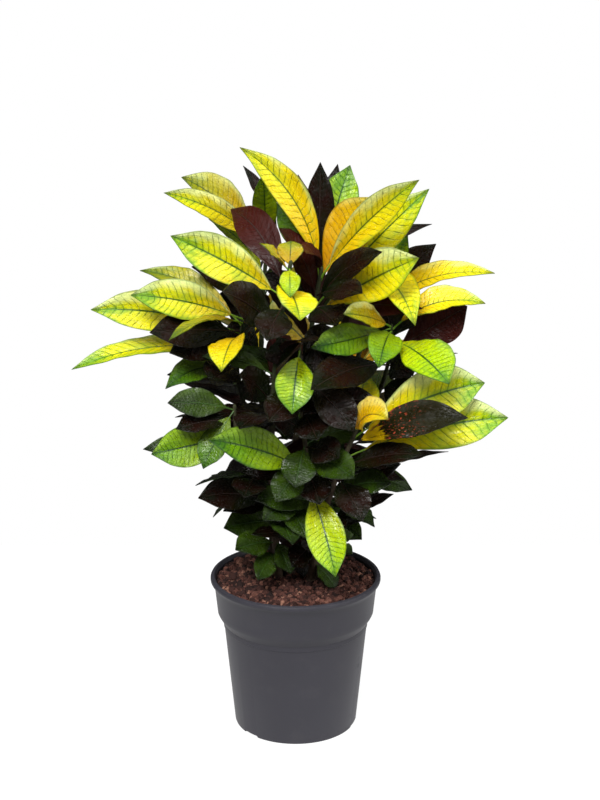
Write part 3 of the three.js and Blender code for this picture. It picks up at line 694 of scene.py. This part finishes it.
# The leaves that give the plant its face. Each row: shoot, how far along it (0 to 1), tip, width,
# arch of the midrib, lean (0 faces up, 90 faces the front), tone, and turn to the side, if any
face_leaves = [
    ["centre", 0.97, [-81, -30, 930], 50, 26, 60, "gold"],
    ["centre", 0.97, [177, -95, 893], 52, 10, 66, "gold"],
    ["centre", 0.985, [82, 30, 895], 66, 6, 75, "lime"],
    ["centre", 0.95, [120, 0, 852], 76, 12, 65, "amber"],
    ["centre", 0.9, [198, -25, 868], 64, 4, 60, "lemon"],
    ["centre", 0.97, [37, 15, 902], 44, 6, 60, "plum"],
    ["centre", 0.9, [64, 55, 893], 50, 6, 40, "plum"],
    ["centre", 0.86, [4, 45, 879], 54, 6, 60, "wine"],
    ["centre", 0.9, [125, -112, 792], 42, 20, 58, "plum"],
    ["centre", 0.92, [-24, -58, 816], 52, 20, 35, "wine"],
    ["left_front", 0.92, [-178, -115, 816], 66, 6, 68, "lemon"],
    ["left_back", 0.98, [-173, 60, 872], 70, 16, 40, "olive"],
    ["left_back", 0.99, [-194, 12, 856], 44, 14, 58, "lemon"],
    ["left_front", 0.93, [-98, 40, 826], 56, 30, 62, "wine", -10],
    ["left_back", 0.985, [-48, 25, 884], 40, 6, 75, "lime"],
    ["left_back", 0.95, [-81, 115, 881], 38, 30, 40, "plum", 40],
    ["centre", 0.99, [-27, 35, 838], 50, 8, 70, "moss"],
    ["left_front", 0.94, [7, -172, 705], 68, 26, 55, "gold", 25],
    ["left_front", 0.985, [-7, -145, 732], 32, 24, 75, "lime"],
    ["left_front", 0.98, [-51, -115, 805], 24, 8, 20, "olive"],
    ["left_low", 0.985, [-243, -62, 717], 64, 10, 60, "lemon"],
    ["left_low", 0.91, [-305, -42, 690], 66, 12, 66, "lemon"],
    ["left_low", 0.95, [-240, 62, 727], 46, 22, 30, "olive"],
    ["left_low", 0.8, [-334, -62, 603], 46, 18, 25, "lemon"],
    ["left_low", 0.88, [-107, -135, 620], 58, 26, 50, "gold", -18],
    ["left_low", 0.92, [-214, -100, 668], 58, 6, 60, "plum"],
    ["left_low", 0.965, [-184, -115, 661], 26, 26, 8, "olive"],
    ["left_low", 0.62, [-196, -45, 568], 52, 40, 40, "moss", -20],
    ["left_out", 0.97, [-188, -112, 566], 46, 12, 55, "green"],
    ["left_out", 0.9, [-176, -120, 528], 46, 14, 25, "plum"],
    ["left_out", 0.79, [-213, -136, 492], 66, 0, 70, "fern"],
    ["left_out", 0.76, [-228, -90, 487], 40, 4, 40, "green"],
    ["left_out", 0.97, [-136, -128, 469], 46, 12, 70, "moss", -20],
    ["front", 0.42, [-125, -172, 528], 64, 10, 62, "fern"],
    ["left_front", 0.38, [-147, -92, 410], 54, 20, 60, "plum"],
    ["centre", 0.35, [-112, -82, 377], 48, 14, 30, "plum"],
    ["centre", 0.28, [-111, -62, 347], 60, 10, 60, "green"],
    ["left_front", 0.22, [-58, -92, 276], 36, 16, 75, "green"],
    ["front", 0.28, [-49, -122, 385], 46, 16, 52, "green"],
    ["front", 0.36, [60, -152, 307], 62, 10, 75, "lime"],
    ["front", 0.985, [-4, -178, 569], 60, 14, 75, "lime"],
    ["right_low", 0.985, [22, -120, 652], 52, -4, 60, "fern"],
    ["right_back", 0.32, [105, -58, 382], 46, 14, 35, "green"],
    ["right_back", 0.36, [134, 12, 375], 36, 12, 20, "green"],
    ["right_back", 0.25, [113, 0, 340], 38, 12, 20, "plum"],
    ["right_back", 0.27, [105, -20, 309], 40, 14, 60, "green"],
    ["right_front", 0.42, [150, -34, 401], 34, 10, 20, "plum"],
    ["right_back", 0.42, [171, 14, 401], 34, 10, 20, "plum"],
    ["right_front", 0.6, [160, -66, 456], 56, 16, 30, "plum"],
    ["right_front", 0.95, [280, -95, 592], 84, 15, 64, "lemon"],
    ["right_front", 0.9, [248, -180, 564], 58, 18, 50, "fleck"],
    ["right_front", 0.84, [316, -98, 539], 80, 12, 62, "lemon"],
    ["right_front", 0.975, [106, -35, 589], 56, 6, 72, "gold"],
    ["right_front", 0.965, [133, -188, 564], 54, 38, 52, "amber"],
    ["right_front", 0.78, [184, -150, 503], 48, 14, 35, "plum"],
    ["right_front", 0.7, [228, -104, 488], 28, 12, 0, "plum"],
    ["right_low", 0.93, [220, -172, 612], 76, 14, 62, "lime", 10],
    ["right_low", 0.97, [120, -150, 630], 54, 18, 66, "fern"],
    ["right_low", 0.86, [259, -14, 689], 70, 2, 74, "wine"],
    ["right_low", 0.975, [284, -32, 697], 58, 30, 25, "gold"],
    ["right_low", 0.8, [22, -188, 610], 62, 12, 50, "plum"],
    ["centre", 0.88, [180, -82, 777], 78, 6, 62, "gold"],
    ["right_back", 0.97, [174, -130, 686], 62, 40, 60, "gold", 8],
    ["right_low", 0.99, [69, -140, 707], 44, 8, 55, "olive"],
    ["centre", 0.9, [189, -120, 707], 36, 8, 60, "wine"],
    ["right_back", 0.985, [172, 60, 790], 60, 8, 60, "lime"],
    ["right_back", 0.93, [217, 72, 767], 50, 8, 60, "plum"],
    ["right_back", 0.89, [300, 10, 735], 54, 27, 30, "gold"],
    ["centre", 0.93, [209, 60, 800], 24, 22, 40, "plum"],
    ["left_back", 0.86, [-92, -10, 742], 60, 12, 50, "plum"],
    ["left_low", 0.86, [-40, -60, 690], 56, 16, 50, "plum"],
    ["right_back", 0.82, [178, -20, 660], 62, 14, 40, "plum"],
    ["centre", 0.62, [62, -80, 452], 60, 20, 50, "green"],
    ["right_low", 0.92, [132, -60, 705], 60, 10, 70, "plum"],
    ["front", 0.88, [86, -150, 533], 58, 14, 50, "plum"],
    ["right_low", 0.66, [176, -60, 560], 56, 14, 60, "plum"],
    ["centre", 0.99, [16, -82, 783], 44, 30, 50, "wine"],
    ["left_front", 0.985, [-6, -35, 793], 40, 10, 30, "olive"],
    ["left_back", 0.86, [-157, 10, 744], 58, 14, 45, "plum"],
    ["left_front", 0.84, [-103, -122, 738], 64, 14, 52, "plum"],
    ["left_low", 0.84, [-187, -68, 630], 56, 10, 48, "plum"],
    ["left_low", 0.7, [-125, -92, 594], 58, 10, 52, "plum"],
    ["centre", 0.93, [96, -122, 735], 44, 10, 55, "plum"],
    ["centre", 0.9, [60, -112, 683], 60, 12, 50, "plum"],
    ["left_front", 0.72, [7, -135, 660], 54, 12, 50, "plum"],
    ["left_front", 0.66, [-81, -122, 613], 54, 12, 50, "plum"],
    ["left_front", 0.6, [10, -132, 537], 54, 10, 55, "green"],
    ["left_front", 0.52, [-81, -112, 528], 50, 12, 50, "plum"],
    ["front", 0.62, [-40, -155, 565], 52, 10, 55, "plum"],
    ["front", 0.55, [64, -152, 494], 52, 10, 52, "plum"],
    ["front", 0.46, [-29, -142, 422], 50, 12, 52, "green"],
    ["left_front", 0.9, [-40, -150, 672], 56, 14, 55, "plum"],
    ["left_front", 0.84, [-18, -150, 624], 56, 14, 55, "plum"],
    ["centre", 0.9, [-51, 10, 730], 50, 14, 50, "plum"],
    ["right_low", 0.8, [176, -60, 593], 50, 14, 50, "plum"],
    ["front", 0.72, [32, -165, 526], 56, 12, 55, "plum"],
    ["front", 0.56, [0, -150, 447], 54, 12, 55, "green"],
    ["front", 0.42, [36, -140, 417], 50, 12, 50, "plum"],
    ["left_front", 0.25, [-92, -70, 321], 46, 14, 50, "green"],
    ["front", 0.93, [44, -140, 630], 44, 10, 55, "plum"],
    ["front", 0.78, [32, -150, 564], 40, 12, 55, "plum"],
    ["left_front", 0.74, [-83, -100, 564], 46, 12, 50, "plum"],
    ["left_back", 0.74, [-108, 30, 641], 60, 14, 50, "plum"],
    ["left_back", 0.82, [-123, 40, 689], 54, 12, 50, "plum"],
    ["right_low", 0.88, [181, -118, 618], 52, 10, 55, "plum"],
]

# Leaves that follow the growth rule: each next leaf turns by the golden angle round its shoot.
# Each row: shoot, first and last place along it, number, shortest and longest leaf, lowest and
# highest slope, first direction seen from above (0 to the right, 90 to the back), largest twist.
growth_rows = [
    ["back_left", 0.34, 0.97, 13, 125, 190, -14, 62, 100, 40],
    ["back_right", 0.24, 0.97, 12, 125, 190, -14, 62, 60, 40],
    ["left_back", 0.28, 0.93, 12, 110, 170, -10, 44, 120, 40],
    ["right_back", 0.30, 0.88, 12, 110, 170, -10, 40, 50, 40],
    ["centre", 0.22, 0.84, 16, 115, 155, -6, 40, 80, 40],
    ["left_front", 0.30, 0.90, 12, 100, 130, -10, 30, 150, 50],
    ["left_low", 0.22, 0.84, 7, 95, 130, -8, 30, 110, 40],
    ["right_low", 0.22, 0.84, 7, 95, 130, -8, 30, 20, 40],
    ["front", 0.36, 0.90, 9, 90, 120, -12, 26, 30, 50],
    ["right_front", 0.30, 0.68, 7, 95, 125, -8, 20, 10, 40],
    ["left_out", 0.25, 0.75, 5, 90, 110, -8, 20, 140, 40],
    ["left_front", 0.26, 0.66, 9, 85, 115, -58, -22, 250, 35],
    ["centre", 0.20, 0.62, 10, 90, 120, -50, -20, 300, 35],
    ["right_front", 0.24, 0.72, 9, 85, 110, -55, -20, 290, 35],
    ["front", 0.14, 0.80, 6, 85, 110, -50, -15, 270, 35],
    ["left_back", 0.26, 0.66, 3, 95, 120, -50, -20, 160, 35],
]
rule_seed = 20417
tone_seed = 7
mark_seed = 11
phase_step = 0.37
turn_scatter = 16
slope_scatter = 10
length_scatter = 16
slimmest_rule_leaf = 38
width_by_length = 0.12
width_scatter = 6
flattest_arch = 12
arch_scatter = 14
least_reach = 60
reach_step = 6
crown_middle = np.array([0, 20, 590])
crown_reach = np.array([285, 285, 290])
tip_error = 0.2

# A leaf may have bent from its place to find room between its neighbours: those of the first
# table by so many millimetres, grown ones by a turn, a rise and a share of their length
front_bends = [
    [0, 0, 0], [0, -14, 2], [0, 14, -2], [0, -28, 5], [0, 28, -5], [6, 0, 6], [-6, 0, -6],
    [0, -44, 8], [0, 44, -8], [8, 20, 6], [-8, -20, -6], [0, -64, 12], [0, 64, -12],
]
turn_bends = [
    [0, 0, 1], [12, 4, 1], [-12, -4, 1], [24, -6, 1], [-24, 6, 1], [36, 10, 1], [-36, -10, 1],
    [50, 14, 1], [-50, 0, 1], [0, 18, 1], [0, -18, 1], [66, 6, 1], [-66, 6, 1], [0, 0, 0.75],
    [20, -10, 0.75], [-20, 10, 0.75], [42, 0, 0.7], [-42, 0, 0.7],
]

stem_corners = {name: mesh_points(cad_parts[f"stem_{name}"]) / mm for name in trunks}


def is_grown(stem, tip):
    """Whether the frame's solid of this stem has a leaf that ends at this tip."""
    return np.abs(stem_corners[stem] - tip).max(axis=1).min() < tip_error


def facing_of(lean, side=0):
    up = radians(lean)
    turn = radians(side)
    return np.array([sin(turn), -sin(up) * cos(turn), cos(up) * cos(turn)])


Leaf = namedtuple("Leaf", "stem base tip width arch facing phase tone")
leaves = []
for i, (shoot, along, tip, width, arch, lean, tone, *side) in enumerate(face_leaves):
    stem, curve = shoots[shoot][:2]
    base = along_curve(curve, along)
    tips = [np.array(tip) + bend for bend in front_bends]
    tip = next((found for found in tips if is_grown(stem, found)), tips[0])
    phase = (i * phase_step) % 1
    leaves.append(Leaf(stem, base, tip, width, arch, facing_of(lean, *side), phase, tone))


def rule_draws(state):
    """Even draws from 0 to 1 that are the same in every run and in the solids' source."""
    while True:
        state = (state * 1664525 + 1013904223) % 2 ** 32
        yield state / 2 ** 32


def tone_by_place(tip, chance):
    """A grown leaf is bright high up and outside at the back, and green or dark elsewhere."""
    out = hypot(tip[0], tip[1] - 20)
    if tip[1] > 60 and (tip[2] > 790 or (out > 165 and tip[2] > 560)):
        mix = ["gold", "lime", "lime", "olive", "gold", "amber", "lime", "plum", "gold", "wine"]
    elif tip[2] < 430:
        mix = ["green", "plum", "green", "plum", "green"]
    else:
        mix = ["plum", "green", "plum", "wine", "plum", "green"]
    return mix[int(chance * len(mix))]


draws = rule_draws(rule_seed)
tone_draw = random.Random(tone_seed)
for shoot, first, last, number, shortest, longest, low, high, start, twist in growth_rows:
    stem, curve = shoots[shoot][:2]
    for i in range(number):
        share = i / (number - 1)
        base = along_curve(curve, first + (last - first) * share)
        turn = start + golden_angle * i + turn_scatter * (next(draws) - 0.5)
        slope = low + (high - low) * share + slope_scatter * (next(draws) - 0.5)
        shorter = (longest - shortest) * abs(1.4 * share - 0.6)
        length = longest - shorter + length_scatter * (next(draws) - 0.5)
        width = slimmest_rule_leaf + length * width_by_length + width_scatter * next(draws)
        arch = flattest_arch + arch_scatter * next(draws)
        phase = next(draws)
        roll = radians(twist * (2 * next(draws) - 1))
        chance = tone_draw.random()
        for more, rise, shrink in turn_bends:
            heading = radians(turn + more)
            lift = radians(slope + rise)
            to_tip = np.array([cos(lift) * cos(heading), cos(lift) * sin(heading), sin(lift)])
            reach = length * shrink
            while (reach > least_reach
                   and (((base + to_tip * reach - crown_middle) / crown_reach) ** 2).sum() >= 1):
                reach -= reach_step
            tip = base + to_tip * reach
            if is_grown(stem, tip):
                facing = np.array([-sin(heading) * sin(roll), cos(heading) * sin(roll), cos(roll)])
                tone = tone_by_place(tip, chance)
                leaves.append(Leaf(stem, base, tip, width, arch, facing, phase, tone))
                break


def lie_of(leaf, s):
    """At the shares s of its length: the midrib, the way the leaf faces, and its right side."""
    base, tip = leaf.base, leaf.tip
    chord = tip - base
    flat = unit(np.array([chord[1], -chord[0], 0]))
    up = unit(np.cross(flat, chord))
    half = np.linalg.norm(chord) / 2
    bend = (base + tip) / 2 + up * half * tan(radians(leaf.arch))
    s = np.asarray(s, float)[:, None]
    point = base * (1 - s) ** 2 + bend * 2 * s * (1 - s) + tip * s ** 2
    along = unit((bend - base) * (1 - s) + (tip - bend) * s)
    normal = unit(leaf.facing - along * (along @ leaf.facing)[:, None])
    return point, normal, np.cross(along, normal)


def blade_half_width(width, b):
    taper = np.clip((b - tip_start) / tip_run, 0, 1)
    bulge = blade_bulge if width < full_leaf else full_blade_bulge
    outline = np.sin(pi * np.clip(b, 0, 1) ** bulge) ** blade_round
    return width / 2 * outline * (1 - tip_taper * (taper + taper ** 2))


# The flat blade is a grid with a crossing line for each side vein and two between each pair
bpy.ops.mesh.primitive_grid_add(x_subdivisions=blade_rows, y_subdivisions=vein_pairs * columns_per_vein,
                                size=2)
blade = bpy.context.object
flat_blade = mesh_points(blade)
blade_faces = mesh_faces(blade)
bpy.data.objects.remove(blade)
blade_across = np.sign(flat_blade[:, 0]) * np.abs(flat_blade[:, 0]) ** 1.4
vein_at = (flat_blade[:, 1] + 1) / 2
blade_side = np.abs(blade_across)
blade_ahead = vein_at + vein_sweep * blade_side * np.sin(pi * vein_at)


def blade_points(leaf):
    """The blade's grid, folded at the midrib, waved and ruffled at the margin, and quilted."""
    b = blade_ahead
    point, normal, right = lie_of(leaf, petiole_share + b * (1 - petiole_share))
    half = blade_half_width(leaf.width, b)
    bright = leaf.tone in bright_tones
    fold = radians(leaf_fold if bright else dark_fold)
    lift = np.sqrt(blade_side ** 2 + fold_softness) - (0 if bright else dark_drop)
    swell = np.sin(pi * b)
    waves = waves_per_blade * b + leaf.phase + wave_lag * blade_across
    wave = leaf_wave * swell * np.sin(2 * pi * waves) * blade_side ** 1.6
    ruffles = ruffles_per_blade * b + 2.3 * leaf.phase + 0.4 * blade_across
    ruffle = leaf_ruffle * swell * np.sin(2 * pi * ruffles) * blade_side ** 5
    quilt = 0.5 - 0.5 * np.cos(2 * pi * vein_at * vein_pairs)
    depth = vein_relief if bright else dark_vein_relief
    pillow = depth * quilt * np.sin(pi * np.clip(blade_side, 0, 1)) ** 0.7 * swell ** 0.5
    rise = half * sin(fold) * lift + wave + ruffle + pillow
    wide = blade_across * half * cos(fold)
    return point + right * wide[:, None] + normal * rise[:, None]


def rib_points(leaf):
    """The stalk and the midrib that runs on from it under the blade, thinning to the tip."""
    s = np.concatenate([[0, 0.03], np.linspace(0.06, rib_end, rib_rings - 2)])
    point, normal, right = lie_of(leaf, s)
    b = np.clip((s - petiole_share) / (1 - petiole_share), 0, 1)
    stalk = petiole_radius * (1 + petiole_flare * np.exp(-(s / petiole_flare_run) ** 2))
    radius = np.where(b > 0, petiole_radius * (1 - b) ** 0.8 * rib_start_share + rib_end_radius, stalk)
    middle = point - normal * np.where(b > 0, rib_sink * radius, 0)[:, None]
    turns = 2 * pi * np.arange(rib_sides) / rib_sides
    return np.vstack([ring_points(middle, right, normal, radius[:, None], turns), middle[0], middle[-1]])


rib_faces = tube_faces(rib_rings, rib_sides)


class LeafFinish(Finish):
    """A finish laid out along and across each leaf, with its pattern in another place on each."""

    def __init__(self, name, roughness, specular):
        super().__init__(name, roughness, specular)
        spot = self.node("ShaderNodeSeparateXYZ")
        self.feed(spot.inputs[0], self.node("ShaderNodeUVMap", uv_map="leaf_map").outputs[0])
        self.mark = self.attribute("leaf_mark")
        self.ahead = spot.outputs["X"]
        self.aside = spot.outputs["Y"]
        self.out = self.maths("ABSOLUTE", self.line(self.aside, 2.0, -1.0))
        self.place = self.spread(3.2, 2.2, 37.0)

    def spread(self, *scales):
        made = self.node("ShaderNodeCombineXYZ")
        for socket, value, scale in zip(made.inputs, (self.ahead, self.aside, self.mark), scales):
            self.feed(socket, self.times(value, scale))
        return made.outputs[0]


def leaf_finish(name, flesh, flush, green, vein, greening, veining, net, roughness, specular=0.45,
                painted_sheen=0.65, sheen_colour=(236, 246, 168)):
    """Leaf colours in layers: warm near the stalk, green at tip and margin, painted sheen, then the veins.
    """
    made = LeafFinish(name, roughness, specular)
    ahead, out, mark = made.ahead, made.out, made.mark
    patches = made.noise(1.6, 3)

    # Side veins at even steps along the midrib, wandering, thinner outwards and faded in places
    wander = made.line(made.noise(1.1, 1), 1.2, -0.6)
    gap = made.maths("PINGPONG", made.plus(made.times(ahead, float(vein_pairs)), wander), 0.5)
    side_vein = made.step(made.maths("SUBTRACT", gap, made.line(out, -0.02, 0.03)), 0.0, 0.06, 1, 0)
    side_vein = made.times(side_vein, made.step(out, 0.80, 0.97, 1, 0.1))
    side_vein = made.times(side_vein, made.step(made.noise(2.6, 2), 0.38, 0.62, 0.3, 1))
    midrib = made.step(made.maths("SUBTRACT", out, made.line(ahead, -0.03, 0.045)), 0.0, 0.03, 1, 0)
    margin = made.step(out, 0.90, 1.0, 0, 0.55)
    dark_tip = made.step(made.plus(ahead, made.times(patches, 0.1)), 0.94, 1.04, 0, 0.7)

    # Flesh, flushed near the stalk, and greener at edge and tip, by the veins and in patches
    cool = made.plus(ahead, made.line(patches, 0.6, made.times(mark, 0.3)))
    skin = made.blend(made.step(cool, 0.5, 1.15, 1, 0), paint(*flesh), paint(*flush))
    greener = made.times(made.plus(
        made.times(made.step(out, 0.78, 0.98), 0.5), made.times(made.step(ahead, 0.55, 0.98), 1.1),
        made.times(made.step(gap, 0.05, 0.36, 1, 0), 0.2), made.times(made.step(out, 0.04, 0.20, 1, 0), 0.3),
        made.line(patches, 2.4, -1.45), made.line(mark, 0.7, -0.35)), greening)
    greener.node.use_clamp = True
    skin = made.blend(greener, skin, paint(*green))

    # Painted sheen: the half of the leaf that is turned up is paled as a reflection of the light above. Then
    # a net of fine veins between the side veins
    sheen_side = made.plus(made.attribute("leaf_sheen_side"), made.line(patches, 0.8, made.times(ahead, 0.3)))
    skin = made.blend(made.step(sheen_side, 0.85, 1.3, 0, painted_sheen), skin, paint(*sheen_colour))
    net_place = made.spread(vein_pairs * 1.6, 13.0, 11.0)
    net_line = made.step(made.cells(1.0, net_place, "DISTANCE_TO_EDGE"), 0.02, 0.07, 1, 0)
    made.skin = made.blend(made.times(net_line, net), skin, paint(*vein))

    lines = made.maths("MAXIMUM", made.times(side_vein, veining), made.times(midrib, 0.95))
    lines = made.maths("MAXIMUM", lines, made.maths("MAXIMUM", margin, dark_tip))
    made.colour(made.blend(lines, made.skin, paint(*vein)))
    dents = made.plus(
        made.times(side_vein, -1.0), made.times(made.noise(9.0, 3), 0.6),
        made.times(made.noise(3.4, 2), 2.2), made.times(patches, 3.0), made.times(net_line, -0.3))
    made.relief(dents, 0.7 * mm)
    made.gloss(made.step(patches, 0.42, 0.62, roughness - 0.05, roughness + 0.15))
    return made


# Each row: flesh, its flush near the stalk, green of edge and tip, veins, and the shares of green,
# veins and net, then roughness, and where they aren't the usual ones specular, the share of painted sheen
# and its colour
# The grey painted sheen of the dark leaves
shady_painted_sheen = (86, 86, 72)
leaf_looks = {
    "gold": [(222, 208, 3), (226, 184, 2), (150, 174, 6), (72, 90, 3), 0.9, 0.65, 0.16, 0.3],
    "lemon": [(206, 206, 4), (216, 190, 2), (110, 156, 6), (44, 84, 4), 1.0, 0.7, 0.2, 0.3],
    "lime": [(156, 188, 3), (180, 190, 3), (90, 138, 4), (22, 66, 4), 0.95, 0.8, 0.32, 0.3,
             0.45, 0.6, (212, 238, 110)],
    "fern": [(98, 140, 5), (132, 160, 6), (46, 92, 4), (15, 50, 4), 0.95, 0.8, 0.32, 0.3,
             0.4, 0.45, (166, 204, 50)],
    "amber": [(214, 174, 3), (208, 146, 2), (180, 168, 8), (98, 70, 3), 0.8, 0.55, 0.16, 0.32, 0.4, 0.3],
    "olive": [(158, 154, 5), (186, 150, 3), (90, 112, 6), (42, 62, 4), 0.9, 0.65, 0.24, 0.32, 0.4, 0.5],
    "moss": [(74, 116, 5), (96, 122, 7), (40, 84, 5), (16, 40, 4), 0.9, 0.6, 0.2, 0.32,
             0.4, 0.35, (150, 176, 60)],
    "green": [(39, 60, 6), (54, 76, 8), (22, 36, 6), (12, 24, 4), 0.8, 0.5, 0.15, 0.28,
              0.3, 0.2, (98, 130, 36)],
    "plum": [(28, 9, 5), (14, 24, 3), (7, 15, 2), (20, 14, 6), 1.0, 0.35, 0.1, 0.2, 0.22, 0.08, shady_painted_sheen],
    "wine": [(56, 12, 6), (42, 9, 5), (32, 10, 4), (50, 16, 9), 0.5, 0.25, 0.08, 0.36,
             0.16, 0.06, (120, 60, 44)],
    "fleck": [(28, 25, 9), (26, 28, 8), (18, 22, 6), (30, 26, 12), 0.5, 0.3, 0.1, 0.26,
              0.2, 0.1, shady_painted_sheen],
    "back bright": [(214, 200, 60), (220, 176, 56), (166, 188, 60), (112, 140, 36), 0.5, 0.5, 0.12, 0.6,
                    0.3, 0],
    "back green": [(58, 84, 30), (66, 90, 34), (44, 70, 24), (84, 104, 46), 0.5, 0.5, 0.15, 0.6, 0.3, 0],
    "back dark": [(54, 24, 18), (44, 22, 16), (36, 24, 14), (80, 40, 30), 0.4, 0.4, 0.1, 0.5, 0.3, 0],
}
backs = {"fern": "back green", "moss": "back green", "green": "back green",
         "fleck": "back dark", "plum": "back dark", "wine": "back dark"}
looks = {name: leaf_finish(f"leaf {name}", *row) for name, row in leaf_looks.items()}

# The one flecked leaf is splashed with yellow near its stalk and dotted with red further on
fleck = looks["fleck"]
dots = fleck.step(fleck.noise(10.0, 4), 0.58, 0.67)
near_base = fleck.step(fleck.ahead, 0.22, 0.66, 0.85, 0)
dotted = fleck.blend(fleck.times(dots, near_base), fleck.skin, paint(206, 84, 62))
splash = fleck.step(fleck.maths("SUBTRACT", fleck.noise(2.6, 2), fleck.times(fleck.ahead, 1.6)), 0.16, 0.28)
fleck.colour(fleck.blend(splash, dotted, paint(216, 178, 10)))


def rib_finish(name, first, second):
    made = Finish(name, roughness=0.45, specular=0.4)
    made.colour(made.blend(made.noise(60, 3), first, second))
    made.relief(made.noise(500, 2), 0.2 * mm)
    return made


# In each mesh: the upper sides in the order of the tones, the backs in the same order, the ribs
leaf_finishes = [looks[tone] for tone in tones]
leaf_finishes += [looks[backs.get(tone, "back bright")] for tone in tones]
leaf_finishes += [
    rib_finish("stalk green", paint(90, 140, 24), paint(130, 164, 44)),
    rib_finish("stalk dark green", paint(34, 66, 16), paint(60, 90, 26)),
    rib_finish("stalk red", paint(28, 17, 10), paint(48, 23, 16)),
]
rib_kinds = {"green": 1, "moss": 1, "plum": 2, "wine": 2, "fleck": 2}


def leafy_mesh(name, parts, numbers):
    """One mesh of many like parts, with the number of the finish that each of them has."""
    piece = build_piece(name, *gather(parts))
    for finish in leaf_finishes:
        piece.data.materials.append(finish.material)
    piece.data.polygons.foreach_set("material_index", np.repeat(numbers, len(parts[0][1])))
    return piece


mark_draw = random.Random(mark_seed)
for name in trunks:
    own = [leaf for leaf in leaves if leaf.stem == name]
    piece = leafy_mesh(f"leaves_{name}", [(blade_points(leaf) * mm, blade_faces) for leaf in own],
                       [tones.index(leaf.tone) for leaf in own])
    leaf_map = piece.data.uv_layers.new(name="leaf_map")
    spots = np.tile(np.stack([vein_at, (blade_across + 1) / 2], axis=-1), (len(own), 1))
    leaf_map.data.foreach_set("uv", spots[np.ravel(mesh_faces(piece))].ravel())
    add_mark(piece, "leaf_mark", np.repeat([mark_draw.random() for leaf in own], len(flat_blade)))
    # Which half of each leaf is turned up, where its finish paints a pale sheen in place of a reflection
    sheen_side = [blade_across * lie_of(leaf, [0.5])[2][0][2] for leaf in own]
    add_mark(piece, "leaf_sheen_side", np.concatenate(sheen_side))
    select_only(piece)
    edit_all()
    bpy.ops.mesh.remove_doubles(threshold=merge_gap * mm)
    bpy.ops.object.mode_set(mode="OBJECT")
    flesh = piece.modifiers.new("flesh", "SOLIDIFY")
    flesh.thickness = leaf_thickness * mm
    flesh.offset = 0
    flesh.material_offset = len(tones)
    apply_modifiers(piece)

    ribs = leafy_mesh("ribs", [(rib_points(leaf) * mm, rib_faces) for leaf in own],
                      [2 * len(tones) + rib_kinds.get(leaf.tone, 0) for leaf in own])
    select_only(piece, ribs)
    bpy.ops.object.join()
    shade(piece, 50)
    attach(piece, "root")
    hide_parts(f"stem_{name}")
